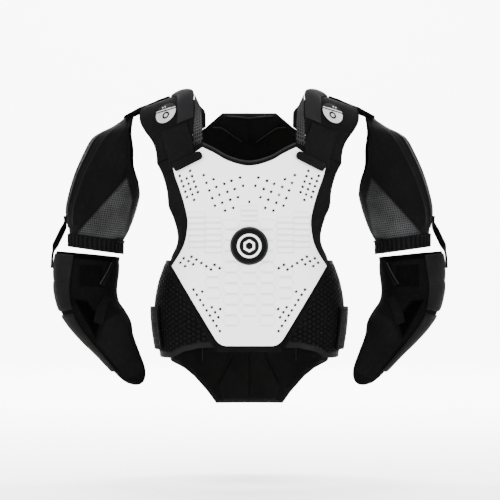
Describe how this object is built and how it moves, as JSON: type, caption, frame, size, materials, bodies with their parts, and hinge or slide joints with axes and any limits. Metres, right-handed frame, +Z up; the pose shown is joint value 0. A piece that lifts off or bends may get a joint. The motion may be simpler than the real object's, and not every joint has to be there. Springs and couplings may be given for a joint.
{
  "type": "chest protector jacket",
  "caption": "Sleeved padded protector jacket with a perforated white hard chest shell, padded back and tail, shoulder yokes, side belts and moulded arm guards.",
  "frame": {"origin": "where the protector sits on the shoulders: midway between the two shoulder yokes, at the height of their outer undersides", "axes": "+Z up, the front of the protector towards -Y, the wearer's left arm towards +X"},
  "size_m": [0.7908, 0.273, 0.6328],
  "materials": {
    "white_shell": "satin, smooth moulded shell",
    "black_foam": "black fabric over foam",
    "binding_fabric": "dark grey edge binding",
    "badge_plastic": "black, slightly glossy",
    "grey_mesh": "dark grey air mesh",
    "rubber_pad": "matt moulded rubber",
    "webbing": "woven elastic webbing",
    "patch_rubber": "light grey soft rubber",
    "moulded_guard": "black moulded guard, satin"
  },
  "bodies": {
    "root": {"chest_shell": "white_shell", "chest_liner": "black_foam", "front_hem": "black_foam", "back_panel": "black_foam", "collar_pad": "black_foam", "tail_pad": "black_foam", "shoulder_yoke_left": "black_foam", "shoulder_yoke_right": "black_foam", "forearm_guard_left": "black_foam", "forearm_guard_right": "black_foam", "neck_binding": "binding_fabric", "chest_badge": "badge_plastic", "neck_gusset_left": "grey_mesh", "neck_gusset_right": "grey_mesh", "upper_sleeve_left": "grey_mesh", "upper_sleeve_right": "grey_mesh", "neck_side_pad_left": "rubber_pad", "neck_side_pad_right": "rubber_pad", "strap_tab_left": "rubber_pad", "strap_tab_right": "rubber_pad", "chest_strap_left": "webbing", "chest_strap_right": "webbing", "side_belt_left": "webbing", "side_belt_right": "webbing", "arm_cuff_left": "webbing", "arm_cuff_right": "webbing", "elbow_strap_left": "webbing", "elbow_strap_right": "webbing", "link_strap_left": "webbing", "link_strap_right": "webbing", "pull_loop_left": "webbing", "pull_loop_right": "webbing", "shoulder_patch_left": "patch_rubber", "shoulder_patch_right": "patch_rubber", "epaulette_flap_left": "moulded_guard", "epaulette_flap_right": "moulded_guard", "flank_wing_left": "moulded_guard", "flank_wing_right": "moulded_guard", "bicep_guard_left": "moulded_guard", "bicep_guard_right": "moulded_guard", "elbow_cap_left": "moulded_guard", "elbow_cap_right": "moulded_guard", "forearm_ridge_left": "moulded_guard", "forearm_ridge_right": "moulded_guard"}
  },
  "joints": []
}
